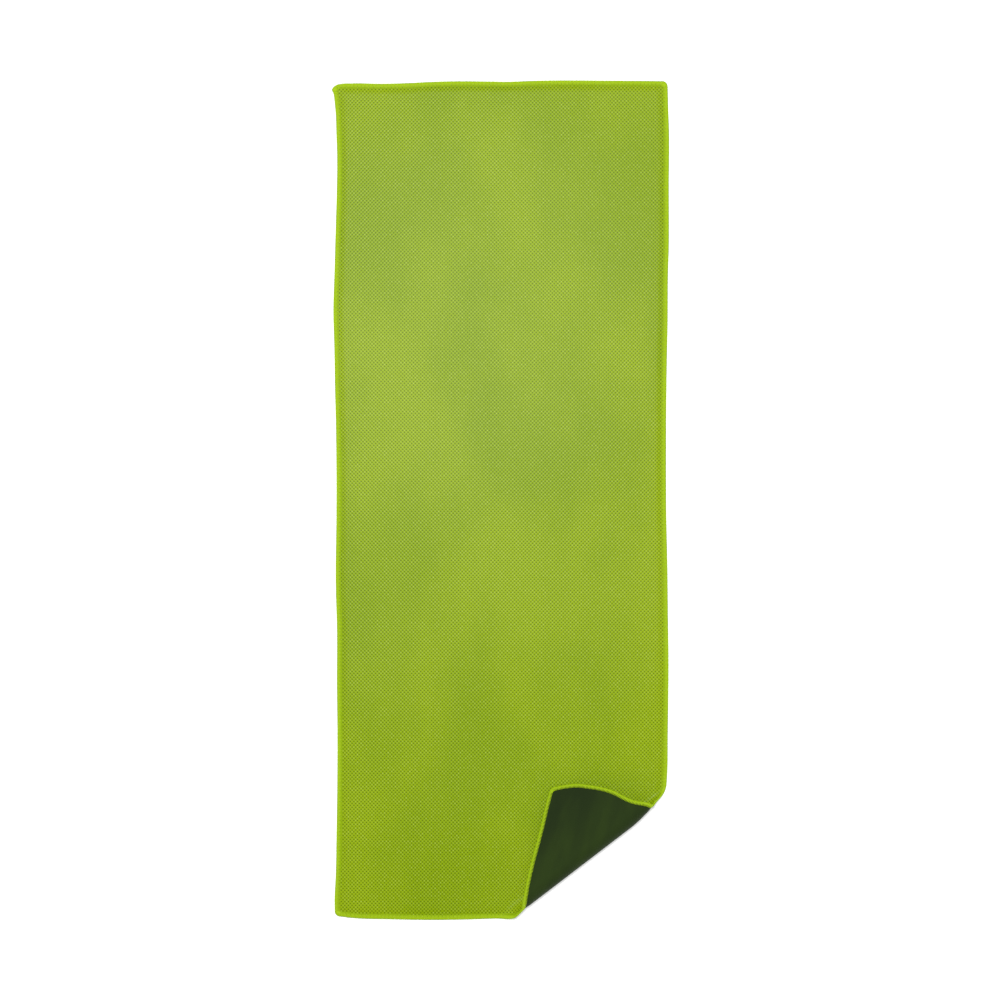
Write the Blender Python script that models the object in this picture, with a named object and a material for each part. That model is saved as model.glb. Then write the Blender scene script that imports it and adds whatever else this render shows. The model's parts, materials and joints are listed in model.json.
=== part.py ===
"""Quick dry towel: two knitted layers joined by an overlocked edge, with one corner turned over its face.

The towel is laid out flat, cut across the corner into narrow strips, and then folded strip by strip.
Frame: +X across the width, +Y along the length, +Z up out of the face, z = 0 under the back layer.
"""

import math

import bmesh
import bpy
from mathutils import Matrix, Vector

# Driving dimensions, in metres.
WIDTH = 0.3166
LENGTH = 0.8000
FACE_THICKNESS = 0.0010
BACK_THICKNESS = 0.0010
LAYER_GAP = 0.0003

# The overlocked edge: a band of thread over and under the cloth's rim.
BAND_WIDTH = 0.0045
THREAD_THICKNESS = 0.0004
EDGE_WRAP = 0.0004
EDGE_CHAMFER = 0.0002
CLEARANCE = 0.0003
NEEDLE_WIDTH = 0.0006

# The corner fold: parallel creases, each turning by the same angle.
FOLD_HEADING = math.radians(37.44)
FIRST_CREASE = 0.3146
STRIP_WIDTH = 0.0069
CREASES = 5
CREASE_TURN = math.radians(38.7)
FACE_SIDE_CUT = 0.0013
BACK_SIDE_CUT = 0.0004

# The loose end of the serging thread at the top left corner.
TAIL_LENGTH = 0.0040
TAIL_RADIUS = 0.0006
TAIL_FROM_TOP = 0.0080

# Heights that follow from the layers.
BACK_TOP = BACK_THICKNESS
FACE_BOTTOM = BACK_TOP + LAYER_GAP
TOP = FACE_BOTTOM + FACE_THICKNESS
MIDDLE = (BACK_TOP + FACE_BOTTOM) / 2
RIM_THICKNESS = FACE_THICKNESS - THREAD_THICKNESS - CLEARANCE

# Distances in from the towel's edge.
RIM_INSET = EDGE_WRAP + CLEARANCE
NEEDLE_INSET = BAND_WIDTH + CLEARANCE
CORE_INSET = NEEDLE_INSET + NEEDLE_WIDTH + CLEARANCE

# A box that reaches past the whole towel, for cutting.
REACH = 1.2
CUT_HEIGHT = 0.1

LIME_MESH = (0.37, 0.49, 0.035)
DARK_KNIT = (0.022, 0.042, 0.011)
LIME_THREAD = (0.44, 0.62, 0.03)

# Each side's middle and the heading that points in from it.
SIDES = {
    "top": (Vector((0, LENGTH / 2, 0)), -math.pi / 2),
    "bottom": (Vector((0, -LENGTH / 2, 0)), math.pi / 2),
    "left": (Vector((-WIDTH / 2, 0, 0)), 0.0),
    "right": (Vector((WIDTH / 2, 0, 0)), math.pi),
}
FOLDED_SIDES = ("right", "bottom")


def clear_scene():
    for item in list(bpy.data.objects):
        bpy.data.objects.remove(item)


def new_collection(name):
    collection = bpy.data.collections.new(name)
    bpy.context.scene.collection.children.link(collection)
    return collection


def new_material(name, colour, roughness):
    material = bpy.data.materials.new(name)
    material.use_nodes = True
    shader = material.node_tree.nodes["Principled BSDF"]
    shader.inputs["Base Color"].default_value = (*colour, 1)
    shader.inputs["Roughness"].default_value = roughness
    shader.inputs["Metallic"].default_value = 0.0
    return material


def new_box(name, size, centre, heading=0.0):
    """A box of the given size, turned about Z by the heading."""
    bpy.ops.mesh.primitive_cube_add(size=1)
    box = bpy.context.object
    box.name = name
    box.data.transform(Matrix.Diagonal((*size, 1)))
    box.location = centre
    box.rotation_euler.z = heading
    return box


def plain_copy(item):
    """The evaluated shape of an object as a mesh in world coordinates, after which the object is removed."""
    bpy.context.view_layer.update()
    evaluated = item.evaluated_get(bpy.context.evaluated_depsgraph_get())
    mesh = bpy.data.meshes.new_from_object(evaluated)
    mesh.transform(item.matrix_world)
    bpy.data.objects.remove(item)
    return mesh


def combine(mesh, other, operation):
    """One mesh united with, or kept only inside, another."""
    kept = bpy.data.objects.new("kept", mesh)
    tool = bpy.data.objects.new("tool", other)
    for item in (kept, tool):
        bpy.context.scene.collection.objects.link(item)
    step = kept.modifiers.new(operation.title(), "BOOLEAN")
    step.operation = operation
    step.solver = "EXACT"
    step.object = tool
    result = plain_copy(kept)
    bpy.data.objects.remove(tool)
    return result


def slab(inset, bottom, top):
    """A flat sheet that stops short of the towel's edge by the inset."""
    size = (WIDTH - 2 * inset, LENGTH - 2 * inset, top - bottom)
    return plain_copy(new_box("slab", size, (0, 0, (bottom + top) / 2)))


def back_layer():
    """The smooth backing: full thickness inside the seam, and only its top part under the thread."""
    rim = slab(RIM_INSET, BACK_TOP - RIM_THICKNESS, BACK_TOP)
    return combine(rim, slab(CORE_INSET, 0.0, BACK_TOP), "UNION")


def face_layer():
    """The mesh face: full thickness inside the seam, and only its bottom part under the thread."""
    rim = slab(RIM_INSET, FACE_BOTTOM, FACE_BOTTOM + RIM_THICKNESS)
    return combine(rim, slab(CORE_INSET, FACE_BOTTOM, TOP), "UNION")


def upper_looper_section():
    """Across the edge: distance in from it, and height. The thread lies on the face and wraps the edge."""
    lip_bottom = MIDDLE + CLEARANCE / 2
    thread_bottom = TOP - THREAD_THICKNESS
    return [
        (0.0, lip_bottom),
        (EDGE_WRAP, lip_bottom),
        (EDGE_WRAP, thread_bottom),
        (BAND_WIDTH, thread_bottom),
        (BAND_WIDTH, TOP),
        (EDGE_CHAMFER, TOP),
        (0.0, TOP - EDGE_CHAMFER),
    ]


def lower_looper_section():
    """The upper looper's section, turned over to lie under the back."""
    return [(inset, TOP - height) for inset, height in reversed(upper_looper_section())]


def needle_section():
    """The straight row of needle thread just inside the loopers."""
    bottom = TOP - THREAD_THICKNESS
    far = NEEDLE_INSET + NEEDLE_WIDTH
    return [(NEEDLE_INSET, bottom), (far, bottom), (far, TOP), (NEEDLE_INSET, TOP)]


def thread_along(side, section):
    """A thread's section drawn out along one side. The top and bottom rows run the full width."""
    middle, heading = SIDES[side]
    length = WIDTH if side in ("top", "bottom") else LENGTH - 2 * CORE_INSET
    curve = bpy.data.curves.new("section", "CURVE")
    curve.dimensions = "2D"
    curve.fill_mode = "BOTH"
    curve.extrude = length / 2
    outline = curve.splines.new("POLY")
    outline.points.add(len(section) - 1)
    for point, (inset, height) in zip(outline.points, section):
        point.co = (inset, height, 0, 1)
    outline.use_cyclic_u = True
    row = bpy.data.objects.new("row", curve)
    bpy.context.scene.collection.objects.link(row)
    row.location = middle
    row.rotation_euler = (math.pi / 2, 0, heading)
    return welded(plain_copy(row))


def welded(mesh):
    """The mesh with the loose caps of a filled curve joined to its walls."""
    work = bmesh.new()
    work.from_mesh(mesh)
    bmesh.ops.remove_doubles(work, verts=work.verts, dist=1e-6)
    bmesh.ops.recalc_face_normals(work, faces=work.faces)
    work.to_mesh(mesh)
    work.free()
    return mesh


def outward():
    """The direction across the creases, towards the corner."""
    return Vector((math.sin(FOLD_HEADING), -math.cos(FOLD_HEADING), 0))


def crease_distance(number):
    """How far along the outward direction a crease lies, with the first crease as number 1."""
    return FIRST_CREASE + (number - 1) * STRIP_WIDTH


def crease_place(number):
    """A crease's place on the flat towel, with local X along the crease."""
    place = outward() * crease_distance(number) + Vector((0, 0, MIDDLE))
    return Matrix.Translation(place) @ Matrix.Rotation(FOLD_HEADING, 4, "Z")


def zone(number, cut):
    """A box over the cloth between two creases. Zone 0 is the main part and the last is the corner."""
    start = crease_distance(number) + cut / 2 if number > 0 else -REACH
    end = crease_distance(number + 1) - cut / 2 if number < CREASES else REACH
    centre = outward() * (start + end) / 2
    size = (end - start, 2 * REACH, CUT_HEIGHT)
    return plain_copy(new_box("zone", size, centre, FOLD_HEADING - math.pi / 2))


def zone_name(stem, number):
    """The name of a piece of the towel in one zone."""
    if number == 0:
        return stem
    return f"{stem}_corner" if number == CREASES else f"{stem}_fold_{number}"


def make_hinges(collection):
    """One empty on each crease, each riding on the one before, all still flat."""
    hinges = []
    for number in range(1, CREASES + 1):
        hinge = bpy.data.objects.new(f"crease_hinge_{number}", None)
        hinge.empty_display_size = STRIP_WIDTH
        collection.objects.link(hinge)
        if hinges:
            hinge.parent = hinges[-1]
            hinge.location = (0, -STRIP_WIDTH, 0)
        else:
            hinge.location = crease_place(number).translation
            hinge.rotation_euler.z = FOLD_HEADING
        hinges.append(hinge)
    return hinges


def add_piece(name, mesh, material, collection):
    """A piece as an object of its own, with its material."""
    mesh.name = name
    mesh.materials.clear()
    mesh.materials.append(material)
    piece = bpy.data.objects.new(name, mesh)
    collection.objects.link(piece)
    return piece


def cut_into_zones(stem, mesh, cut, material, hinges, collection):
    """The flat mesh cut along the creases, each piece past the first crease riding on its hinge."""
    for number in range(CREASES + 1):
        part = combine(mesh.copy(), zone(number, cut), "INTERSECT")
        piece = add_piece(zone_name(stem, number), part, material, collection)
        if number > 0:
            part.transform(crease_place(number).inverted())
            piece.parent = hinges[number - 1]


def add_layers(hinges, collection):
    """The back and the face of the towel. The face is cut wider, so the strips clear it as they turn."""
    back = new_material("dark_green_knit", DARK_KNIT, 0.85)
    face = new_material("lime_mesh_knit", LIME_MESH, 0.8)
    for stem, mesh, cut, material in (
        ("back_panel", back_layer(), BACK_SIDE_CUT, back),
        ("face_panel", face_layer(), FACE_SIDE_CUT, face),
    ):
        cut_into_zones(stem, mesh, cut, material, hinges, collection)


def add_threads(hinges, collection):
    """The three threads of the overlocked edge, in one row for each side."""
    material = new_material("lime_thread", LIME_THREAD, 0.6)
    for stem, section, cut in (
        ("upper_looper", upper_looper_section(), FACE_SIDE_CUT),
        ("lower_looper", lower_looper_section(), BACK_SIDE_CUT),
        ("needle_thread", needle_section(), FACE_SIDE_CUT),
    ):
        for side in SIDES:
            row = thread_along(side, section)
            name = f"{stem}_{side}"
            if side in FOLDED_SIDES:
                cut_into_zones(name, row, cut, material, hinges, collection)
            else:
                add_piece(name, row, material, collection)


def add_tail(collection):
    """The serging thread's loose end, which points out past the top left corner."""
    reach = WIDTH / 2 + CLEARANCE + TAIL_LENGTH / 2
    bpy.ops.mesh.primitive_cone_add(
        vertices=12,
        radius1=TAIL_RADIUS,
        radius2=TAIL_RADIUS / 2,
        depth=TAIL_LENGTH,
        location=(-reach, LENGTH / 2 - TAIL_FROM_TOP, MIDDLE),
        rotation=(0, -math.pi / 2, 0),
    )
    cone = bpy.context.object
    add_piece("thread_tail", plain_copy(cone), bpy.data.materials["lime_thread"], collection)


def main():
    clear_scene()
    collection = new_collection("quick_dry_towel")
    hinges = make_hinges(collection)
    add_layers(hinges, collection)
    add_threads(hinges, collection)
    add_tail(collection)
    for hinge in hinges:
        hinge.rotation_euler.x = -CREASE_TURN


main()
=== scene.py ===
# %% [markdown]
# # A quick dry towel, laid out flat with one corner turned over
#
# The towel has two knitted layers: a lime mesh full of pinholes on the face and a smooth dark green
# backing. An overlocked edge of three lime threads joins them all round. Everything here is cut and sewn
# flat first, as a maker would, and only then is the corner rolled over the face.
#
# The frame holds the bodies that move: the towel, four narrow strips where the cloth bends, and the corner.

# %% Load the frame
import json
import math

import bmesh
import bpy
import numpy as np
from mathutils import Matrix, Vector

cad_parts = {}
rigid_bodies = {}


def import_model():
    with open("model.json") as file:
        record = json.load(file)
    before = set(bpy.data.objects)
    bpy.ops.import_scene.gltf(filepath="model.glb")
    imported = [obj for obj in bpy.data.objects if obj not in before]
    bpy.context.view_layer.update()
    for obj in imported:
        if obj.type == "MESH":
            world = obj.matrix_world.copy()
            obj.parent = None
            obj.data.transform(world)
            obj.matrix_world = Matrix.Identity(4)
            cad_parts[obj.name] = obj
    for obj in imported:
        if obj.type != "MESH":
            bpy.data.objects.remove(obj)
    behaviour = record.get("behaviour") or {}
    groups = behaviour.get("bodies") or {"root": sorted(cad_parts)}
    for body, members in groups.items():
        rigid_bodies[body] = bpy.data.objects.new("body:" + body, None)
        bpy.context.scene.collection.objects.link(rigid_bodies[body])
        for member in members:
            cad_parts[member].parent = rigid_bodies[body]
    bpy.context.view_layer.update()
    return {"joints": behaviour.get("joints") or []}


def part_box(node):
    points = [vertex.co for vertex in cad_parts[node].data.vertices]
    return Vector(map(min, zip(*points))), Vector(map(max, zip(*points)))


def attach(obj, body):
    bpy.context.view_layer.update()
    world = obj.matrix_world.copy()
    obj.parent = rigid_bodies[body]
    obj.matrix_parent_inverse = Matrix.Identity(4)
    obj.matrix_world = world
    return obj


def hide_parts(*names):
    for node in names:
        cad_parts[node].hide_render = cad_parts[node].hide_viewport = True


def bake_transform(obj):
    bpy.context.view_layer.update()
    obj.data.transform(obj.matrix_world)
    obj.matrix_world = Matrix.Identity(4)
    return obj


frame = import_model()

# %% [markdown]
# ## Sizes
#
# The cloth's width and length come from the row of thread along its top edge. Each crease is a hinge in the
# frame, and the line of hinges gives the path that the cloth's middle surface takes as it rolls over. Read
# from the frame, these sizes can't disagree with the bodies that move.

# %% Read the sizes
MM = 0.001
top_row_low, top_row_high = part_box("upper_looper_top")
WIDTH = top_row_high.x - top_row_low.x
LENGTH = 2 * top_row_high.y

creases = sorted(frame["joints"], key=lambda joint: joint["name"])
crease_points = np.array([joint["pos_m"] for joint in creases])
ALONG = np.array(creases[0]["axis"][:2])
ACROSS = np.array([ALONG[1], -ALONG[0]])
TURN = math.radians(creases[0]["range_deg"][1])
crease_reach = crease_points[:, :2] @ ACROSS
crease_height = crease_points[:, 2]
MIDDLE = crease_height[0]
STRIP = math.hypot(crease_reach[1] - crease_reach[0], crease_height[1] - crease_height[0])
BODIES = [creases[0]["parent"]] + [joint["child"] for joint in creases]
print(f"cloth {WIDTH:.4f} x {LENGTH:.4f} m, {len(creases)} creases {STRIP / MM:.1f} mm apart")

# %% [markdown]
# ## The cut edge
#
# No towel has ruler-straight sides: the knit gives, and the sewing pulls it in here and out there by a
# millimetre or two. The outline could be drawn as one freehand curve, but then a change on one side would
# disturb the next. So each side gets its own stations instead, which say how far out the edge lies at that
# place, with a smooth curve through them. The lower right corner was trimmed in as it was sewn, and the
# upper left one is drawn out into a small ear where the sewing starts and ends.

# %% Stations along the four sides
# Station and outward offset, in millimetres. The station is x on the top and bottom, y on the sides.
LEFT_SIDE = [(-400, 1.2), (-385, 1.4), (-358, 0.2), (-324, -0.4), (-266, -1.2), (-220, -1.3),
             (-174, -0.8), (-128, -0.9), (-75, 0.4), (-14, -0.3), (32, -0.3), (78, 0.3), (101, 0.9),
             (147, 1.7), (182, 2.6), (216, 1.6), (262, 0.3), (285, -0.4), (331, -1.0), (354, -0.3),
             (370, 0.2), (377, 0.7), (384, 1.4), (389, 1.9), (393, 2.9), (395, 3.9), (397, 3.8), (400, 2.3)]
RIGHT_SIDE = [(-400, -11.6), (-396, -10.0), (-390, -6.9), (-382, -3.4), (-375, -1.2), (-368, -0.2),
              (-361, 0.8), (-353, 1.4), (-343, 1.0), (-332, -1.3), (-325, -2.4), (-317, -2.1),
              (-311, -1.4), (-305, -2.6), (-299, -4.8), (-293, -6.6), (-288, -6.0), (-283, -4.4),
              (-278, -2.8), (-273, -1.5), (-266, -0.9), (-220, 0.0), (-151, 0.6), (-105, 0.0), (-60, -0.5),
              (-20, -1.4), (55, -1.7), (124, -1.1), (170, -0.2), (216, 0.1), (239, 0.8), (300, 0.9),
              (354, 1.1), (371, 0.5), (400, -0.3)]
TOP_SIDE = [(-158, -3.5), (-152, -2.3), (-140, -1.8), (-114, -2.2), (-87, -1.5), (-68, -0.5), (-45, 0.1),
            (-11, -0.1), (8, -0.3), (27, 0.5), (46, 0.9), (104, 0.8), (147, 0.5), (158, 0.3)]
BOTTOM_SIDE = [(-158, -2.9), (-152, -2.4), (-145, -1.4), (-135, -0.6), (-107, 0.2), (-68, 0.9),
               (-30, 0.4), (-5, -0.3), (7, -0.1), (12, 0.1), (17, 0.6), (21, 0.0), (26, -1.5), (36, 0.6),
               (50, 2.2), (76, 3.5), (103, 3.7), (123, 4.2), (132, 4.6), (158, 4.8)]
print("stations:", sum(len(side) for side in (LEFT_SIDE, RIGHT_SIDE, TOP_SIDE, BOTTOM_SIDE)))


# %% A smooth curve through the stations
def smooth_offset(place, stations):
    """The outward offset at each place, in metres, on a smooth curve through the stations."""
    at = np.array([s[0] for s in stations]) * MM
    out = np.array([s[1] for s in stations]) * MM
    slope = np.gradient(out, at)
    place = np.clip(place, at[0], at[-1])
    i = np.clip(np.searchsorted(at, place) - 1, 0, len(at) - 2)
    span = at[i + 1] - at[i]
    t = (place - at[i]) / span
    rise = out[i + 1] - out[i]
    return (out[i] + span * slope[i] * t * (1 - t) ** 2 - span * slope[i + 1] * t**2 * (1 - t)
            + rise * t**2 * (3 - 2 * t))


def smoothstep(value, low, high):
    t = np.clip((value - low) / (high - low), 0, 1)
    return t * t * (3 - 2 * t)


print(f"half way up, the left side lies {smooth_offset(np.zeros(1), LEFT_SIDE)[0] / MM:.1f} mm out")

# %% Move a plain rectangle to the cut shape
CORNER_RADIUS = 0.0045
# How quickly a side's offset fades towards the middle: the power of the distance from the far side.
FADE_ACROSS, FADE_ALONG = 4, 8


def cut_shape(square):
    """Points of a plain rectangle moved to where they are on the cut cloth, still flat."""
    x, y = square[:, 0].copy(), square[:, 1].copy()
    # Round the corners: each little corner square becomes a quarter disc.
    over_x = np.abs(x) - (WIDTH / 2 - CORNER_RADIUS)
    over_y = np.abs(y) - (LENGTH / 2 - CORNER_RADIUS)
    corner = (over_x > 0) & (over_y > 0)
    over_x, over_y = over_x[corner], over_y[corner]
    pull = np.maximum(over_x, over_y) / np.hypot(over_x, over_y)
    x[corner] = np.sign(x[corner]) * (WIDTH / 2 - CORNER_RADIUS + over_x * pull)
    y[corner] = np.sign(y[corner]) * (LENGTH / 2 - CORNER_RADIUS + over_y * pull)
    right, left = (0.5 + x / WIDTH) ** FADE_ACROSS, (0.5 - x / WIDTH) ** FADE_ACROSS
    top, bottom = (0.5 + y / LENGTH) ** FADE_ALONG, (0.5 - y / LENGTH) ** FADE_ALONG
    moved_x = x + smooth_offset(y, RIGHT_SIDE) * right - smooth_offset(y, LEFT_SIDE) * left
    moved_y = y + smooth_offset(x, TOP_SIDE) * top - smooth_offset(x, BOTTOM_SIDE) * bottom
    return np.column_stack([moved_x, moved_y])


print(f"corners rounded by {CORNER_RADIUS / MM:.1f} mm")

# %% [markdown]
# ## Lying and rolling
#
# A cloth that rolls over bends one way only, so each cross-section across the creases is the same curve.
# Here it is a chain of parabolas: each touches the middle of one strip and the middle of the next, with
# the hinge between them as its third point. A point of the flat cloth keeps its place along the creases
# and goes to the same distance along the curve. A cloth simulation would drape it too, but its corner would
# no longer match the hinges, and the unfolded corner has to come out flat.
#
# Two things keep it from looking like bent card. The part that lies flat is lifted by a few long, low
# waves, up to a millimetre and a half. And the roll isn't the same all along: it is pinched tighter
# towards its right-hand end and opens a little at the other.

# %% The curve across the roll
knot_distance = crease_reach[0] + (np.arange(len(creases) + 1) - 0.5) * STRIP
section_points = np.column_stack([crease_reach, crease_height])
middles = (section_points[:-1] + section_points[1:]) / 2
full_turn = TURN * len(creases)
first_knot = section_points[0] - [STRIP / 2, 0]
last_knot = section_points[-1] + STRIP / 2 * np.array([math.cos(full_turn), math.sin(full_turn)])
section_knots = np.vstack([first_knot, middles, last_knot])
# A slope this little below zero is rounding, not cloth that has turned right over.
ANGLE_NOISE = 1e-6


def roll(distance):
    """Where the middle surface is at a flat distance across the creases: reach, height and slope angle."""
    distance = np.asarray(distance, float)
    k = np.clip(np.searchsorted(knot_distance, distance) - 1, 0, len(creases) - 1)
    t = np.clip((distance - knot_distance[k]) / STRIP, 0, 1)[:, None]
    start, hinge, end = section_knots[k], section_points[k], section_knots[k + 1]
    place = (1 - t) ** 2 * start + 2 * t * (1 - t) * hinge + t**2 * end
    heading = (1 - t) * (hinge - start) + t * (end - hinge)
    angle = np.arctan2(heading[:, 1], heading[:, 0])
    angle = np.where(angle < -ANGLE_NOISE, angle + 2 * math.pi, angle)
    straight = np.minimum(distance - knot_distance[0], 0) + np.maximum(distance - knot_distance[-1], 0)
    direction = np.column_stack([np.cos(angle), np.sin(angle)])
    return place + straight[:, None] * direction, angle


print(f"the roll turns {math.degrees(full_turn):.1f} degrees, {section_knots[:, 1].max() / MM:.1f} mm high")

# %% The waves of the lying part
# Each wave: its height in millimetres, its turns per metre across and along, and its phase in turns.
WAVES = [(0.28, 2.3, 1.0, 0.06), (0.20, -3.1, 1.9, 0.30), (0.14, 4.8, 3.6, 0.64), (0.10, 1.3, -5.7, 0.35)]
WAVE_FADE = (0.215, 0.290)


def waves(flat):
    """How far the lying part is lifted, in metres. It fades out before the roll and under the flap."""
    lift = np.zeros(len(flat))
    for height, turns_x, turns_y, phase in WAVES:
        lift += height * (1 + np.sin(2 * math.pi * (turns_x * flat[:, 0] + turns_y * flat[:, 1] + phase)))
    return lift * MM * (1 - smoothstep(flat @ ACROSS, *WAVE_FADE))


print(f"the waves lift the cloth by up to {2 * sum(wave[0] for wave in WAVES):.1f} mm")

# %% The ends of the roll, and the whole cloth laid down
PINCH = 0.0045
PINCH_START, PINCH_END = -0.092, -0.048
FLARE = 0.0022
FLARE_END, FLARE_START = -0.240, -0.214


def roll_ends(along, angle):
    """How far each point is drawn into the roll, in metres. Only the part that stands up is moved."""
    drawn = PINCH * smoothstep(along, PINCH_START, PINCH_END)
    drawn -= FLARE * (1 - smoothstep(along, FLARE_END, FLARE_START))
    return drawn * np.maximum(np.sin(angle), 0) ** 2


def lay(flat, height):
    """Flat points, each at a height above the cloth's middle surface, as they lie with the corner rolled."""
    place, angle = roll(flat @ ACROSS)
    along = flat @ ALONG
    height = height + waves(flat) + roll_ends(along, angle)
    reach = place[:, 0] - np.sin(angle) * height
    up = place[:, 1] + np.cos(angle) * height
    ground = reach[:, None] * ACROSS + along[:, None] * ALONG
    return np.column_stack([ground, up])


corner_tip = lay(np.array([[WIDTH / 2, -LENGTH / 2]]), np.zeros(1))[0]
print(f"the turned corner's tip lies {corner_tip[2] / MM:.1f} mm above the floor")

# %% [markdown]
# ## Finishes
#
# Three finishes cover the towel: the lime mesh, the dark backing and the thread. Each reads its piece's own
# UV map, which holds flat metres, so a knit follows the cloth round the roll and doesn't slide when the
# corner opens. All of them are a noise or a wave, spread into a range and used to mix two colours, so a few
# small helpers keep the node code readable.

# %% Helpers that add and feed nodes
# The places of a Mix node's two colours among its inputs, and of the mixed colour among its outputs.
FIRST_COLOUR, SECOND_COLOUR, MIXED_COLOUR = 6, 7, 2


def add_node(tree, kind, **settings):
    node = tree.nodes.new(kind)
    for name, value in settings.items():
        setattr(node, name, value)
    return node


def feed(tree, socket, value):
    """Links an output to a socket, or sets a plain value on it."""
    if isinstance(value, bpy.types.NodeSocket):
        tree.links.new(value, socket)
    else:
        socket.default_value = value


def maths(tree, operation, *values):
    node = add_node(tree, "ShaderNodeMath", operation=operation)
    for socket, value in zip(node.inputs, values):
        feed(tree, socket, value)
    return node.outputs[0]


def spread(tree, value, low, high, to_low, to_high):
    """The value's range from low to high, turned smoothly into another range."""
    node = add_node(tree, "ShaderNodeMapRange", interpolation_type="SMOOTHSTEP")
    for socket, number in zip(node.inputs, (value, low, high, to_low, to_high)):
        feed(tree, socket, number)
    return node.outputs[0]


def mix_colours(tree, share, first, second):
    node = add_node(tree, "ShaderNodeMix", data_type="RGBA")
    feed(tree, node.inputs["Factor"], share)
    feed(tree, node.inputs[FIRST_COLOUR], first)
    feed(tree, node.inputs[SECOND_COLOUR], second)
    return node.outputs[MIXED_COLOUR]


print("a sum, a smooth range or a mix of two colours is now one call")

# %% Helpers that read the cloth and start a finish
KNIT_UV = "cloth"
SHEEN_ROUGHNESS = 0.5


def cloth_coordinates(tree):
    """The cloth's UV map, as a vector and as its two parts, in metres."""
    uv = add_node(tree, "ShaderNodeUVMap", uv_map=KNIT_UV)
    apart = add_node(tree, "ShaderNodeSeparateXYZ")
    tree.links.new(uv.outputs[0], apart.inputs[0])
    return uv.outputs[0], apart.outputs[0], apart.outputs[1]


def noise(tree, vector, scale, detail=2.0, stretch=(1, 1, 1)):
    mapping = add_node(tree, "ShaderNodeMapping")
    feed(tree, mapping.inputs["Vector"], vector)
    mapping.inputs["Scale"].default_value = stretch
    node = add_node(tree, "ShaderNodeTexNoise")
    feed(tree, node.inputs["Vector"], mapping.outputs[0])
    node.inputs["Scale"].default_value = scale
    node.inputs["Detail"].default_value = detail
    return node.outputs["Fac"]


def new_finish(name, roughness, sheen, specular):
    finish = bpy.data.materials.new(name)
    finish.use_nodes = True
    shader = finish.node_tree.nodes["Principled BSDF"]
    shader.inputs["Roughness"].default_value = roughness
    shader.inputs["Sheen Weight"].default_value = sheen
    shader.inputs["Sheen Roughness"].default_value = SHEEN_ROUGHNESS
    shader.inputs["Specular IOR Level"].default_value = specular
    return finish, finish.node_tree, shader


def add_bump(tree, shader, height, distance, strength):
    bump = add_node(tree, "ShaderNodeBump")
    bump.inputs["Strength"].default_value = strength
    bump.inputs["Distance"].default_value = distance
    feed(tree, bump.inputs["Height"], height)
    tree.links.new(bump.outputs[0], shader.inputs["Normal"])


print(f"finishes read the UV map {KNIT_UV!r}, in metres of flat cloth")

# %% [markdown]
# The face is a mesh knit with pinholes in staggered rows. The product of two cosine waves, one across and
# one along, peaks at exactly those places: every 3.45 mm across and 3.6 mm along, with a second set halfway
# between. Where it peaks the dark backing shows through. Where it dips the yarn stands proudest, and there
# it is painted paler, a painted highlight; here and there such a crown also gets a brighter painted glint,
# as where a loose loop catches the light. Real holes at this pitch would need more than a million faces,
# and a pinhole one millimetre wide reads the same from its colour and its relief.

# %% The lime mesh knit
HOLE_ACROSS, HOLE_ALONG = 0.00345, 0.00360
LIME = (0.243, 0.374, 0.000, 1)
# The paler yarn: used for drifts of tone, and for the painted highlight on the crowns.
LIME_PALE_AND_HIGHLIGHT = (0.358, 0.490, 0.004, 1)
# Painted highlight: the colour of the brighter glints on a scatter of crowns.
LIME_GLINT = (0.560, 0.690, 0.150, 1)
HOLE_DARK = (0.060, 0.112, 0.000, 1)
# Where on the product of waves a hole and a crown's painted highlight start and are full, and how strongly
# they show.
HOLE_RANGE, HOLE_STRENGTH, HOLE_RAGGED = (0.50, 0.82), 0.84, 0.26
CROWN_HIGHLIGHT_RANGE, CROWN_HIGHLIGHT_STRENGTH = (-0.45, -0.95), 0.45
# The part of a noise's range that is used, and how far it goes towards the paler yarn or the painted glint.
DRIFT_RANGE, DRIFT_STRENGTH = (0.35, 0.65), 0.45
GLINT_RANGE, GLINT_STRENGTH = (0.40, 0.72), 0.72
# How many turns of noise there are in a metre: ragged hole rims, drifts of tone, painted glints, filaments.
RAGGED_TURNS, DRIFT_TURNS, GLINT_TURNS, FILAMENT_TURNS = 900.0, 9.0, 620.0, 2600.0
HOLE_RELIEF, FILAMENT_RELIEF = -0.5, 0.35


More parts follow.
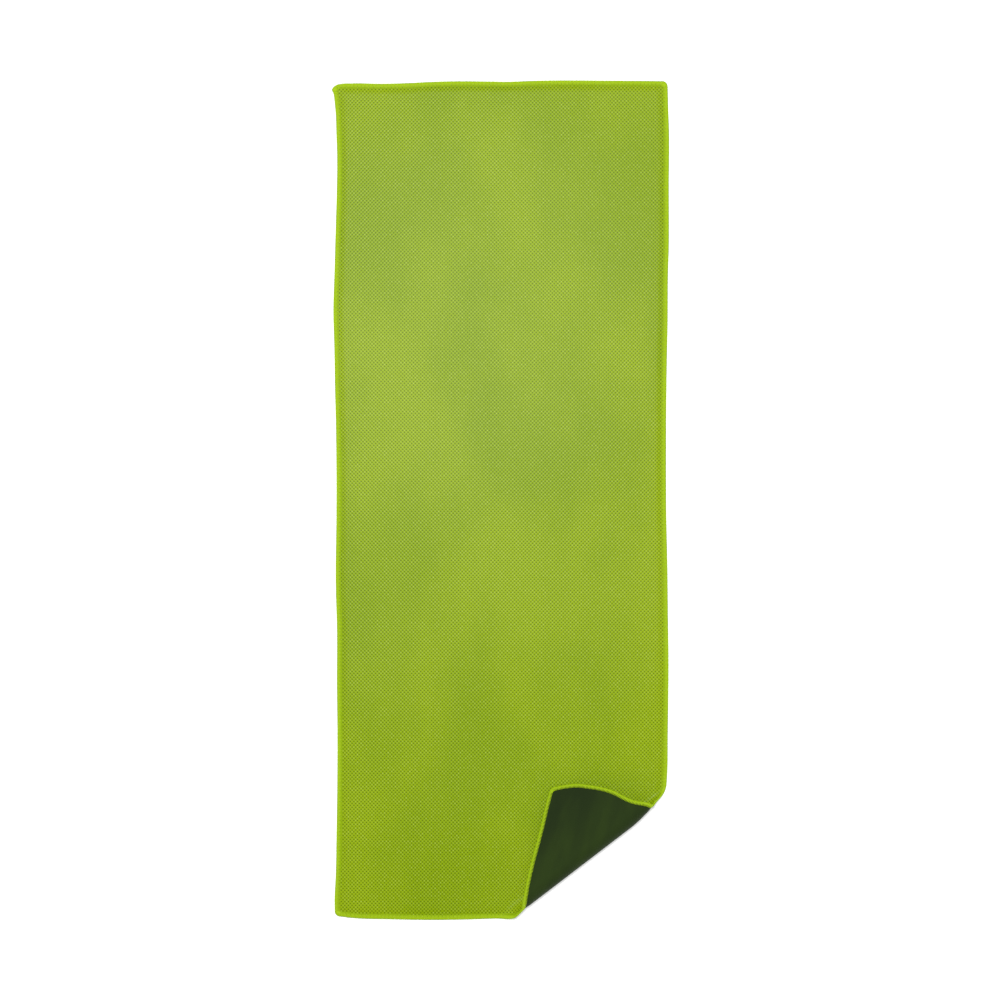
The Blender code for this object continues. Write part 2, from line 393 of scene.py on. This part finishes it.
def lime_mesh_knit():
    finish, tree, shader = new_finish("lime_mesh_knit", roughness=0.35, sheen=0.0, specular=0.095)
    uv, across, along = cloth_coordinates(tree)
    wave_across = maths(tree, "COSINE", maths(tree, "MULTIPLY", across, 2 * math.pi / HOLE_ACROSS))
    wave_along = maths(tree, "COSINE", maths(tree, "MULTIPLY", along, 2 * math.pi / HOLE_ALONG))
    lattice = maths(tree, "MULTIPLY", wave_across, wave_along)
    rims = maths(tree, "MULTIPLY", noise(tree, uv, RAGGED_TURNS), HOLE_RAGGED)
    hole = spread(tree, maths(tree, "ADD", lattice, rims), *HOLE_RANGE, 0.0, 1.0)
    # Painted highlight: the crowns of the yarn, where the lamp would catch them.
    crown_highlight = spread(tree, lattice, *CROWN_HIGHLIGHT_RANGE, 0.0, 1.0)
    drift = noise(tree, uv, DRIFT_TURNS, 3.0, stretch=(1.0, 0.6, 1.0))
    # Painted highlight: a scatter of glints, where a loose loop would catch the light.
    painted_glint = spread(tree, noise(tree, uv, GLINT_TURNS, 1.0), *GLINT_RANGE, 0.0, GLINT_STRENGTH)
    yarn = mix_colours(tree, spread(tree, drift, *DRIFT_RANGE, 0.0, DRIFT_STRENGTH), LIME, LIME_PALE_AND_HIGHLIGHT)
    # The crowns are painted paler: a painted highlight.
    yarn = mix_colours(tree, maths(tree, "MULTIPLY", crown_highlight, CROWN_HIGHLIGHT_STRENGTH), yarn, LIME_PALE_AND_HIGHLIGHT)
    yarn = mix_colours(tree, maths(tree, "MULTIPLY", crown_highlight, painted_glint), yarn, LIME_GLINT)
    colour = mix_colours(tree, maths(tree, "MULTIPLY", hole, HOLE_STRENGTH), yarn, HOLE_DARK)
    tree.links.new(colour, shader.inputs["Base Color"])
    filament = noise(tree, uv, FILAMENT_TURNS, 1.0, stretch=(1.0, 0.45, 1.0))
    filament = maths(tree, "MULTIPLY", filament, FILAMENT_RELIEF)
    relief = maths(tree, "ADD", maths(tree, "MULTIPLY", lattice, HOLE_RELIEF), filament)
    add_bump(tree, shader, relief, distance=0.00015, strength=0.8)
    return finish


print(f"about {2 * WIDTH * LENGTH / (HOLE_ACROSS * HOLE_ALONG):.0f} pinholes")

# %% [markdown]
# The backing is a smooth, brushed knit in dark green. From close by it shows fine upright wales, a little
# over a millimetre apart, and faint streaks where the nap lies one way or the other. Next to the roll the
# turned-over backing is painted a little lighter: painted light, fading out over five centimetres. Wales
# this fine are a matter for the bump: as geometry they would only cost faces.

# %% The dark backing
WALE = 0.0012
DARK = (0.0120, 0.0235, 0.0050, 1)
# The lighter backing, for the streaks and fuzz and for the painted light next to the roll.
DARK_PALE_AND_LIT = (0.0225, 0.0430, 0.0058, 1)
# How far past the roll the backing is painted lighter, and by how much: painted light.
ROLL_LIGHT_REACH, ROLL_LIGHT_STRENGTH = 0.05, 0.45
NAP_TURNS, NAP_RANGE, NAP_LIGHT = 45.0, (0.35, 0.7), 0.55
FUZZ_TURNS, FUZZ_LIGHT = 1800.0, 0.25
WALE_RELIEF = 0.5


def dark_green_knit():
    finish, tree, shader = new_finish("dark_green_knit", roughness=0.85, sheen=0.05, specular=0.15)
    uv, across, along = cloth_coordinates(tree)
    wale = maths(tree, "SINE", maths(tree, "MULTIPLY", across, 2 * math.pi / WALE))
    nap = noise(tree, uv, NAP_TURNS, 3.0, stretch=(0.35, 1.0, 1.0))
    fuzz = noise(tree, uv, FUZZ_TURNS)
    reach_x = maths(tree, "MULTIPLY", across, ACROSS[0])
    reach = maths(tree, "ADD", reach_x, maths(tree, "MULTIPLY", along, ACROSS[1]))
    roll_end = knot_distance[-1]
    # Painted light: the backing next to the roll is painted lighter, fading out over five centimetres.
    painted_roll_light = spread(tree, reach, roll_end, roll_end + ROLL_LIGHT_REACH, ROLL_LIGHT_STRENGTH, 0.0)
    streaks = spread(tree, nap, *NAP_RANGE, 0.0, NAP_LIGHT)
    shade = maths(tree, "ADD", streaks, maths(tree, "MULTIPLY", fuzz, FUZZ_LIGHT))
    shade = maths(tree, "ADD", shade, painted_roll_light)
    tree.links.new(mix_colours(tree, shade, DARK, DARK_PALE_AND_LIT), shader.inputs["Base Color"])
    relief = maths(tree, "ADD", maths(tree, "MULTIPLY", wale, WALE_RELIEF), fuzz)
    add_bump(tree, shader, relief, distance=0.00012, strength=0.6)
    return finish


print(f"wales {WALE / MM:.1f} mm apart, {WIDTH / WALE:.0f} across the towel")

# %% [markdown]
# The overlock thread is bulky, loosely twisted polyester, brighter than the knit. The twist could be two
# strands of geometry, at twice the faces. But a tube's UV map runs along and around it, so slanted bands in
# that map give the same twist from the finish alone, as a bump and as painted shade between the strands.

# %% The lime thread
THREAD = (0.440, 0.645, 0.008, 1)
# The darker thread colour: painted shade in the twist's grooves, and the thread's own tone where it drifts.
THREAD_SHADE = (0.350, 0.540, 0.004, 1)
TWIST_RATE, STRANDS, TWIST_SHADE = 5200.0, 2, 0.45
LOT_TURNS, LOT_SHADE = 55.0, 0.25


def lime_thread():
    finish, tree, shader = new_finish("lime_thread", roughness=0.5, sheen=0.0, specular=0.18)
    _, along, around = cloth_coordinates(tree)
    slant = maths(tree, "MULTIPLY", around, 2 * math.pi * STRANDS)
    twist = maths(tree, "SINE", maths(tree, "ADD", maths(tree, "MULTIPLY", along, TWIST_RATE), slant))
    place = add_node(tree, "ShaderNodeTexCoord").outputs["Object"]
    drift = maths(tree, "MULTIPLY", noise(tree, place, LOT_TURNS), LOT_SHADE)
    # Painted shade: the grooves of the twist are painted darker.
    share = maths(tree, "ADD", spread(tree, twist, -1.0, 1.0, TWIST_SHADE, 0.0), drift)
    tree.links.new(mix_colours(tree, share, THREAD, THREAD_SHADE), shader.inputs["Base Color"])
    add_bump(tree, shader, twist, distance=0.00006, strength=0.6)
    return finish


FINISHES = {"face_mesh": lime_mesh_knit(), "back_knit": dark_green_knit(), "edge_thread": lime_thread()}
print("finishes:", ", ".join(finish.name for finish in FINISHES.values()))

# %% [markdown]
# ## The two layers
#
# Both layers are cut from the same flat grid, so that they lie edge to edge. Its lines crowd together near
# the edge, where the thread pinches the cloth thin, and extra cuts run across the roll so that it bends
# smoothly. The grid is then parted into zones at the middle of each strip: the part that lies flat, one
# zone for each crease, and the corner.

# %% Cut the flat grid
GRID_ACROSS = 84
GRID_ALONG = 210
RIM = 0.0009
EDGE_CROWDING = 0.55
CUTS_PER_STRIP = 10
ON_THE_CUT = 1e-6


def crowded(share):
    """Evenly spaced shares from -1 to 1, drawn towards both ends."""
    return share + EDGE_CROWDING * np.sin(math.pi * share) / math.pi


def flat_grid():
    """The cut cloth as a flat grid, with each point's distance in from the edge."""
    grid = bmesh.new()
    bmesh.ops.create_grid(grid, x_segments=GRID_ACROSS, y_segments=GRID_ALONG, size=1)
    square = np.array([vert.co[:2] for vert in grid.verts])
    square = np.column_stack([crowded(square[:, 0]) * (WIDTH / 2 - RIM),
                              crowded(square[:, 1]) * (LENGTH / 2 - RIM)])
    inset = grid.verts.layers.float.new("inset")
    edge_distance = np.minimum(WIDTH / 2 - np.abs(square[:, 0]), LENGTH / 2 - np.abs(square[:, 1]))
    for vert, place, distance in zip(grid.verts, cut_shape(square), edge_distance):
        vert.co = (place[0], place[1], 0)
        vert[inset] = distance
    outward = Vector((*ACROSS, 0))
    for cut in np.linspace(knot_distance[0], knot_distance[-1], len(creases) * CUTS_PER_STRIP + 1):
        everything = grid.verts[:] + grid.edges[:] + grid.faces[:]
        bmesh.ops.bisect_plane(grid, geom=everything, dist=ON_THE_CUT, plane_co=outward * cut,
                               plane_no=outward)
    grid.verts.ensure_lookup_table()
    grid.verts.index_update()
    flat = np.array([vert.co[:2] for vert in grid.verts])
    inset_values = np.array([vert[inset] for vert in grid.verts])
    faces = [[vert.index for vert in face.verts] for face in grid.faces]
    grid.free()
    return flat, inset_values, faces


flat_points, flat_inset, flat_faces = flat_grid()
print(f"{len(flat_points)} points, {len(flat_faces)} faces")

# %% Part the grid into zones
face_centres = np.array([flat_points[face].mean(0) for face in flat_faces])
face_zone = np.searchsorted(knot_distance, face_centres @ ACROSS)
ZONES = len(creases) + 2
print("faces in each zone:", np.bincount(face_zone))

# %% [markdown]
# A layer is a closed sheet, with an upper and a lower surface and a wall round them. A Solidify modifier
# would give it one even thickness, but under the thread both layers are squeezed to less than half of it,
# as stitched cloth is. So each surface is laid at its own height, which comes back to the full thickness
# within a centimetre of the edge.

# %% How high each layer's surfaces are
SEAM_START, SEAM_END = 0.0036, 0.0095
# Heights of each layer's lower and upper surface: under the thread, and in the open cloth.
LAYERS = {
    "face": {"slot": "face_mesh", "low": (0.00002, 0.00006), "high": (0.00042, 0.00095)},
    "back": {"slot": "back_knit", "low": (-0.00042, -0.00105), "high": (-0.00002, -0.00006)},
}


def surface_height(layer, side, inset):
    squeezed, free = LAYERS[layer][side]
    return squeezed + (free - squeezed) * smoothstep(inset, SEAM_START, SEAM_END)


for layer in LAYERS:
    thickness = surface_height(layer, "high", flat_inset) - surface_height(layer, "low", flat_inset)
    print(f"{layer}: {thickness.min() / MM:.2f} mm thick at the edge, {thickness.max() / MM:.2f} mm inside")

# %% Sew up each zone of each layer
SHARP_ANGLE = math.radians(50)


def border(faces):
    """The directed edges that only one face has."""
    edges = {(face[i - 1], face[i]) for face in faces for i in range(len(face))}
    return [edge for edge in edges if (edge[1], edge[0]) not in edges]


def zone_name(stem, zone):
    if zone == 0:
        return stem
    return f"{stem}_corner" if zone == ZONES - 1 else f"{stem}_crease_{zone}"


def zone_sheet(layer, zone):
    """One zone of one layer as a closed sheet, in its place on the rolled towel."""
    chosen = [face for face, at in zip(flat_faces, face_zone) if at == zone]
    used = sorted({index for face in chosen for index in face})
    renumber = {old: new for new, old in enumerate(used)}
    faces = [[renumber[index] for index in face] for face in chosen]
    flat, inset = flat_points[used], flat_inset[used]
    count = len(used)
    upper = lay(flat, surface_height(layer, "high", inset))
    lower = lay(flat, surface_height(layer, "low", inset))
    under = [[index + count for index in reversed(face)] for face in faces]
    walls = [[b, a, a + count, b + count] for a, b in border(faces)]
    name = zone_name(f"{layer}_knit", zone)
    mesh = bpy.data.meshes.new(name)
    mesh.from_pydata(np.vstack([upper, lower]).tolist(), [], faces + under + walls)
    place = np.vstack([flat, flat])
    corners = np.empty(len(mesh.loops), np.int32)
    mesh.loops.foreach_get("vertex_index", corners)
    uv = mesh.uv_layers.new(name=KNIT_UV)
    uv.data.foreach_set("uv", place[corners].ravel())
    mesh.shade_smooth()
    mesh.set_sharp_from_angle(angle=SHARP_ANGLE)
    mesh.materials.append(FINISHES[LAYERS[layer]["slot"]])
    sheet = bpy.data.objects.new(name, mesh)
    bpy.context.scene.collection.objects.link(sheet)
    return sheet


sheets = {(layer, zone): zone_sheet(layer, zone) for layer in LAYERS for zone in range(ZONES)}
print(f"{len(sheets)} sheets, {sum(len(s.data.polygons) for s in sheets.values())} faces")

# %% [markdown]
# ## The overlocked edge
#
# An overlock machine runs three threads. The upper looper goes from the needle row out over the edge and
# back, once for each stitch; the lower looper does the same underneath; the needle thread makes the
# straight row that holds them. One stitch of each is a short tube with only a few sides, because it is
# repeated more than a thousand times. They are all made flat and are rolled with the cloth afterwards, so
# they follow it exactly.

# %% A closed tube along a path
TUBE_SIDES = 5
# Keeps the tube's sides defined where its path runs straight up.
SIDEWAYS_NUDGE = [1e-4, 0.0, 0.0]


def tube(name, path, radius, flatten=1.0):
    """A closed tube along a path of (x, y, z) points, with UV along and around it."""
    path = np.array(path)
    ahead = np.gradient(path, axis=0)
    ahead /= np.linalg.norm(ahead, axis=1)[:, None]
    side = np.cross(ahead, [0.0, 0.0, 1.0]) + np.cross(ahead, SIDEWAYS_NUDGE)
    side /= np.linalg.norm(side, axis=1)[:, None]
    up = np.cross(side, ahead)
    turns = np.arange(TUBE_SIDES) * 2 * math.pi / TUBE_SIDES
    rings = [p + radius * (math.cos(a) * s + flatten * math.sin(a) * u)
             for p, s, u in zip(path, side, up) for a in turns]
    faces, uvs = [], []
    run = np.concatenate([[0], np.cumsum(np.linalg.norm(np.diff(path, axis=0), axis=1))])
    for ring in range(len(path) - 1):
        for turn in range(TUBE_SIDES):
            following = (turn + 1) % TUBE_SIDES
            first, second = ring * TUBE_SIDES, (ring + 1) * TUBE_SIDES
            faces.append([first + turn, first + following, second + following, second + turn])
            near, far = turn / TUBE_SIDES, (turn + 1) / TUBE_SIDES
            uvs += [(run[ring], near), (run[ring], far), (run[ring + 1], far), (run[ring + 1], near)]
    last = (len(path) - 1) * TUBE_SIDES
    faces += [list(range(TUBE_SIDES))[::-1], list(range(last, last + TUBE_SIDES))]
    uvs += [(0.0, 0.0)] * TUBE_SIDES + [(run[-1], 0.0)] * TUBE_SIDES
    mesh = bpy.data.meshes.new(name)
    mesh.from_pydata([tuple(point) for point in rings], [], faces)
    layer = mesh.uv_layers.new(name=KNIT_UV)
    layer.data.foreach_set("uv", np.array(uvs).ravel())
    work = bmesh.new()
    work.from_mesh(mesh)
    bmesh.ops.recalc_face_normals(work, faces=work.faces)
    work.to_mesh(mesh)
    work.free()
    mesh.shade_smooth()
    return bpy.data.objects.new(name, mesh)


print(f"a tube has {TUBE_SIDES} sides")

# %% One stitch of each thread
STITCH = 0.00130
NEEDLE_ROW = 0.0045
UPPER_REACH, UPPER_HEIGHT, UPPER_RADIUS = NEEDLE_ROW - 0.0001, 0.00073, 0.00042
LOWER_REACH, LOWER_HEIGHT, LOWER_RADIUS = 0.0034, 0.00075, 0.00036
NEEDLE_RADIUS = 0.00027
PRESSED = 0.85
# How much of a stitch's length a looper uses on its way out.
WAY_OUT = 0.4


def looper_path(reach, top, side):
    """Out from the needle row, over the edge, and back, in one stitch. Side is 1 above and -1 below."""
    # Each point: how far in from the edge it is, and its share of the greatest height.
    over = [(reach, 0.85), (reach * 0.55, 1.0), (0.0008, 0.9), (-0.0001, 0.25)]
    steps = np.linspace(0, WAY_OUT, len(over)) * STITCH
    out = [(step, y, side * top * share) for step, (y, share) in zip(steps, over)]
    back = [(STITCH - step, y, z) for step, y, z in reversed(out)]
    return out + back


def needle_path():
    """One stitch of the needle row: up out of the cloth, along, and down again."""
    shares = [0.02, 0.3, 0.7, 0.98]
    rise = [0.00045, 0.00084, 0.00084, 0.00045]
    return [(STITCH * share, NEEDLE_ROW, height) for share, height in zip(shares, rise)]


stitches = {
    "upper_looper": tube("upper_stitch", looper_path(UPPER_REACH, UPPER_HEIGHT, 1), UPPER_RADIUS, PRESSED),
    "lower_looper": tube("lower_stitch", looper_path(LOWER_REACH, LOWER_HEIGHT, -1), LOWER_RADIUS, PRESSED),
    "needle_thread": tube("needle_stitch", needle_path(), NEEDLE_RADIUS),
}
for name, stitch in stitches.items():
    print(name, "stitch:", len(stitch.data.polygons), "faces")

# %% [markdown]
# The stitches repeat along a path, so Geometry Nodes place them. The path is a line of points, one for
# each stitch, and each carries the direction of the edge there. The tree turns a copy of the stitch to
# that direction, varies its size a little, makes the copies real and gives them their finish.

# %% The tree that sews a row
DIRECTION = "edge_direction"
LOOSEST, TIGHTEST = 1.03, 0.97
# The places of a Random Value node's limits for a plain number among its inputs, and of that number.
LOW_LIMIT, HIGH_LIMIT, NUMBER = 2, 3, 1


def row_tree():
    tree = bpy.data.node_groups.new("overlock_row", "GeometryNodeTree")
    face = tree.interface
    face.new_socket("Geometry", in_out="INPUT", socket_type="NodeSocketGeometry")
    face.new_socket("Stitch", in_out="INPUT", socket_type="NodeSocketObject")
    face.new_socket("Loosest", in_out="INPUT", socket_type="NodeSocketFloat")
    face.new_socket("Tightest", in_out="INPUT", socket_type="NodeSocketFloat")
    face.new_socket("Seed", in_out="INPUT", socket_type="NodeSocketInt")
    face.new_socket("Finish", in_out="INPUT", socket_type="NodeSocketMaterial")
    face.new_socket("Geometry", in_out="OUTPUT", socket_type="NodeSocketGeometry")
    inputs, outputs = add_node(tree, "NodeGroupInput"), add_node(tree, "NodeGroupOutput")
    stitch = add_node(tree, "GeometryNodeObjectInfo")
    tree.links.new(inputs.outputs["Stitch"], stitch.inputs["Object"])
    direction = add_node(tree, "GeometryNodeInputNamedAttribute", data_type="FLOAT_VECTOR")
    direction.inputs["Name"].default_value = DIRECTION
    turn = add_node(tree, "FunctionNodeAlignRotationToVector", axis="X", pivot_axis="Z")
    tree.links.new(direction.outputs["Attribute"], turn.inputs["Vector"])
    size = add_node(tree, "FunctionNodeRandomValue", data_type="FLOAT")
    tree.links.new(inputs.outputs["Tightest"], size.inputs[LOW_LIMIT])
    tree.links.new(inputs.outputs["Loosest"], size.inputs[HIGH_LIMIT])
    tree.links.new(inputs.outputs["Seed"], size.inputs["Seed"])
    place = add_node(tree, "GeometryNodeInstanceOnPoints")
    tree.links.new(inputs.outputs["Geometry"], place.inputs["Points"])
    tree.links.new(stitch.outputs["Geometry"], place.inputs["Instance"])
    tree.links.new(turn.outputs["Rotation"], place.inputs["Rotation"])
    tree.links.new(size.outputs[NUMBER], place.inputs["Scale"])
    real = add_node(tree, "GeometryNodeRealizeInstances")
    tree.links.new(place.outputs["Instances"], real.inputs["Geometry"])
    finish = add_node(tree, "GeometryNodeSetMaterial")
    tree.links.new(real.outputs["Geometry"], finish.inputs["Geometry"])
    tree.links.new(inputs.outputs["Finish"], finish.inputs["Material"])
    tree.links.new(finish.outputs["Geometry"], outputs.inputs["Geometry"])
    return tree


overlock_row = row_tree()
print("tree inputs:", ", ".join(i.name for i in overlock_row.interface.items_tree if i.in_out == "INPUT"))

# %% [markdown]
# The row's path is the cut edge itself, walked anticlockwise so that the cloth is always on the left. It is
# measured along its length and marked off into stitches, because points at even steps of x or y would
# crowd round the corners. Each mark knows its side of the towel and its zone of the roll.

# %% Mark the stitches along the edge
EDGE_STEP = 0.0004
SIDE_NAMES = ("bottom", "right", "top", "left")


def walk_edge():
    """Points along the cut edge at every stitch, the edge's direction there, and which side each is on."""
    half_w, half_l = WIDTH / 2, LENGTH / 2
    corners = [(-half_w, -half_l), (half_w, -half_l), (half_w, half_l), (-half_w, half_l)]
    square, sides = [], []
    for number, start in enumerate(corners):
        end = corners[(number + 1) % len(corners)]
        steps = round(math.dist(start, end) / EDGE_STEP)
        square.append(np.linspace(start, end, steps, endpoint=False))
        sides += [number] * steps
    edge = cut_shape(np.vstack(square))
    closed = np.vstack([edge, edge[:1]])
    run = np.concatenate([[0], np.cumsum(np.linalg.norm(np.diff(closed, axis=0), axis=1))])
    count = round(run[-1] / STITCH)
    marks = np.arange(count) * run[-1] / count
    points = np.column_stack([np.interp(marks, run, closed[:, axis]) for axis in (0, 1)])
    ahead = np.roll(points, -1, axis=0) - points
    ahead /= np.linalg.norm(ahead, axis=1)[:, None]
    side = np.array(sides)[np.minimum(np.searchsorted(run, marks, side="right") - 1, len(sides) - 1)]
    return points, ahead, side


edge_points, edge_ahead, edge_side = walk_edge()
edge_inward = np.column_stack([-edge_ahead[:, 1], edge_ahead[:, 0]])
edge_zone = np.searchsorted(knot_distance, (edge_points + edge_inward * NEEDLE_ROW / 2) @ ACROSS)
print(f"{len(edge_points)} stitches round the towel")

# %% [markdown]
# One call of the next helper sews one row: it lays down the path's points, lets the tree place the
# stitches, keeps the result as a plain mesh and rolls that mesh with the cloth. The part that lies flat has
# one row on each side for each thread, as it would come off the machine, and each zone of the roll has one
# piece for each thread.


# %% Sew one row
def set_input(modifier, name, value):
    """Sets a tree's input by its socket's identifier."""
    socket = next(item for item in modifier.node_group.interface.items_tree
                  if item.name == name and item.in_out == "INPUT")
    modifier[socket.identifier] = value


def sew(thread, name, chosen, seed):
    """The chosen stitches of one thread as one mesh, in place on the rolled towel."""
    path = bpy.data.meshes.new(name)
    path.from_pydata([(x, y, 0) for x, y in edge_points[chosen]], [], [])
    direction = path.attributes.new(DIRECTION, "FLOAT_VECTOR", "POINT")
    ahead = np.column_stack([edge_ahead[chosen], np.zeros(chosen.sum())])
    direction.data.foreach_set("vector", ahead.ravel())
    row = bpy.data.objects.new(name, path)
    bpy.context.scene.collection.objects.link(row)
    sewing = row.modifiers.new("Sewing", "NODES")
    sewing.node_group = overlock_row
    set_input(sewing, "Stitch", stitches[thread])
    set_input(sewing, "Loosest", LOOSEST)
    set_input(sewing, "Tightest", TIGHTEST)
    set_input(sewing, "Seed", seed)
    set_input(sewing, "Finish", FINISHES["edge_thread"])
    bpy.context.view_layer.update()
    evaluated = row.evaluated_get(bpy.context.evaluated_depsgraph_get())
    mesh = bpy.data.meshes.new_from_object(evaluated)
    row.modifiers.remove(sewing)
    row.data = mesh
    mesh.name = name
    points = np.empty(len(mesh.vertices) * 3)
    mesh.vertices.foreach_get("co", points)
    points = points.reshape(-1, 3)
    mesh.vertices.foreach_set("co", lay(points[:, :2], points[:, 2]).ravel())
    mesh.update()
    return row


print(f"each stitch is sewn at {TIGHTEST} to {LOOSEST} times its size")


# %% Sew all the rows
def sew_all():
    rows = {}
    for seed, thread in enumerate(stitches):
        for number, side in enumerate(SIDE_NAMES):
            chosen = (edge_zone == 0) & (edge_side == number)
            rows[thread, 0, side] = sew(thread, f"{thread}_row_{side}", chosen, seed)
        for zone in range(1, ZONES):
            name = zone_name(f"{thread}_row", zone)
            rows[thread, zone, "fold"] = sew(thread, name, edge_zone == zone, seed)
    return rows


rows = sew_all()
print(f"{len(rows)} rows, {sum(len(row.data.polygons) for row in rows.values())} faces")

# %% [markdown]
# ## The thread tail
#
# Where the sewing starts and ends, its three threads run on past the cloth as a short twisted chain. Only
# the last few millimetres of it are left, at the tip of the ear. It could be three plaited strands, but at
# this size one tapered tube with a row of soft knots along it looks the same.

# %% Make the tail
tail_low, tail_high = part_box("thread_tail")
TAIL_STEPS = 24
TAIL_REACH = 0.0040
TAIL_DROOP = 0.0004
TAIL_RADIUS = 0.00075
TAIL_TAPER = 0.55
KNOT_SWELL = 0.14
KNOT_TURNS = 30


def thread_tail():
    share = np.linspace(0, 1, TAIL_STEPS)
    x = tail_high.x - TAIL_REACH * share
    y = np.full(TAIL_STEPS, (tail_low.y + tail_high.y) / 2)
    z = MIDDLE - TAIL_DROOP * share**2
    tail = tube("thread_tail_chain", np.column_stack([x, y, z]), TAIL_RADIUS)
    bpy.context.scene.collection.objects.link(tail)
    points = np.array([vert.co for vert in tail.data.vertices]).reshape(TAIL_STEPS, TUBE_SIDES, 3)
    centres = points.mean(1, keepdims=True)
    size = (1 - TAIL_TAPER * share) * (1 + KNOT_SWELL * np.sin(share * KNOT_TURNS))
    points = centres + (points - centres) * size[:, None, None]
    tail.data.vertices.foreach_set("co", points.ravel())
    tail.data.materials.append(FINISHES["edge_thread"])
    tail.data.update()
    return tail


tail = thread_tail()
print(f"tail reaches x = {min(vert.co.x for vert in tail.data.vertices) / MM:.1f} mm")

# %% [markdown]
# ## Joining the pieces to the bodies
#
# The flat part and its rows ride on the towel, and the corner's pieces ride on the corner. Every piece
# round a crease rides on neither of the two bodies that the crease joins, and stays where it lies: if it
# rode on one of them only, it would tear away from the next as the corner opens. Each piece stands for the
# plain solids of its zone.


# %% Ride on a body, or stay where it lies
def join_to_body(piece, zone):
    if zone == 0:
        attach(piece, BODIES[0])
    elif zone == ZONES - 1:
        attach(piece, BODIES[-1])
    else:
        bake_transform(piece)


for (layer, zone), sheet in sheets.items():
    join_to_body(sheet, zone)
for (thread, zone, side), row in rows.items():
    join_to_body(row, zone)
join_to_body(tail, 0)
print(f"{len(sheets) + len(rows) + 1} pieces joined to {len(BODIES)} bodies")


# %% Stand for the plain solids
def node_name(stem, zone):
    """The plain solid that a zone's piece stands for. The zone past the last strip has none of its own."""
    if zone == 0:
        return stem
    if zone == ZONES - 1:
        return f"{stem}_{BODIES[-1]}"
    return f"{stem}_{BODIES[zone]}" if zone < len(creases) else None


def stand_for(piece, *names):
    """Hides the named solids that the piece stands for, and says how many there are. The piece itself is not
    used.
    """
    known = [name for name in names if name is not None]
    if known:
        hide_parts(*known)
    return len(known)


replaced = stand_for(tail, "thread_tail")
for (layer, zone), sheet in sheets.items():
    replaced += stand_for(sheet, node_name(f"{layer}_panel", zone))
for (thread, zone, side), row in rows.items():
    if zone == 0:
        replaced += stand_for(row, f"{thread}_{side}")
    else:
        replaced += stand_for(row, node_name(f"{thread}_right", zone), node_name(f"{thread}_bottom", zone))
print(f"{replaced} plain solids replaced")

# %% [markdown]
# Each layer is one cloth, however many pieces it is made of here. The face lies on the backing, and the
# backing lies on the floor.

# %% [markdown]
# ## Floor, light and camera
#
# The towel lies on a plain white floor under soft light from all round, which leaves hardly a shadow. One
# round lamp high above its upper half adds the gloss: the yarn mirrors it, so the middle of the cloth turns
# paler than the ends, as a knit does under a ceiling light. A ring of lamps would spread that gloss evenly
# and flatten the cloth. The camera looks straight down from well above.

# %% Lay the floor
FLOOR_SIZE = 24.0
FLOOR_HEIGHT = -0.0002
FLOOR_WHITE = (0.92, 0.92, 0.92, 1)
FLOOR_GLOW = 0.45
WHITE = (1, 1, 1, 1)


def add_floor():
    bpy.ops.mesh.primitive_plane_add(size=FLOOR_SIZE, location=(0, 0, FLOOR_HEIGHT))
    floor = bpy.context.object
    floor.name = "floor"
    paint, _, shader = new_finish("white_floor", roughness=0.9, sheen=0.0, specular=0.1)
    shader.inputs["Base Color"].default_value = FLOOR_WHITE
    shader.inputs["Emission Color"].default_value = WHITE
    shader.inputs["Emission Strength"].default_value = FLOOR_GLOW
    floor.data.materials.append(paint)
    return floor


floor = add_floor()
print(f"floor {FLOOR_SIZE:.0f} m square")

# %% Hang the lamp and light the surround
LAMP_PLACE = (-0.11, 0.36, 2.35)
LAMP_SIZE = 0.45
LAMP_POWER = 44.0
SURROUND_LIGHT = 0.35


def add_lamp():
    light = bpy.data.lights.new("overhead_lamp", "AREA")
    light.shape = "DISK"
    light.size = LAMP_SIZE
    light.energy = LAMP_POWER
    lamp = bpy.data.objects.new("overhead_lamp", light)
    lamp.location = LAMP_PLACE
    lamp.rotation_euler = (-Vector(LAMP_PLACE)).to_track_quat("-Z", "Y").to_euler()
    bpy.context.scene.collection.objects.link(lamp)


def add_surround():
    world = bpy.data.worlds.new("studio")
    world.use_nodes = True
    background = world.node_tree.nodes["Background"]
    background.inputs["Color"].default_value = WHITE
    background.inputs["Strength"].default_value = SURROUND_LIGHT
    bpy.context.scene.world = world


add_lamp()
add_surround()
bpy.context.scene.view_settings.view_transform = "Standard"
print(f"lamp of {LAMP_POWER:.0f} W, {LAMP_PLACE[2]} m up")

# %% Set the camera
CAMERA_HEIGHT = 2.26
CAMERA_PLACE = (-0.00187, 0.00024)
SEEN_WIDTH = 0.9564
LENS = 85.0


def add_camera():
    camera = bpy.data.cameras.new("camera")
    camera.lens = LENS
    camera.sensor_width = SEEN_WIDTH * LENS / CAMERA_HEIGHT
    eye = bpy.data.objects.new("camera", camera)
    eye.location = (*CAMERA_PLACE, CAMERA_HEIGHT)
    bpy.context.scene.collection.objects.link(eye)
    bpy.context.scene.camera = eye


add_camera()
print(f"camera {CAMERA_HEIGHT} m up, seeing {SEEN_WIDTH} m across")
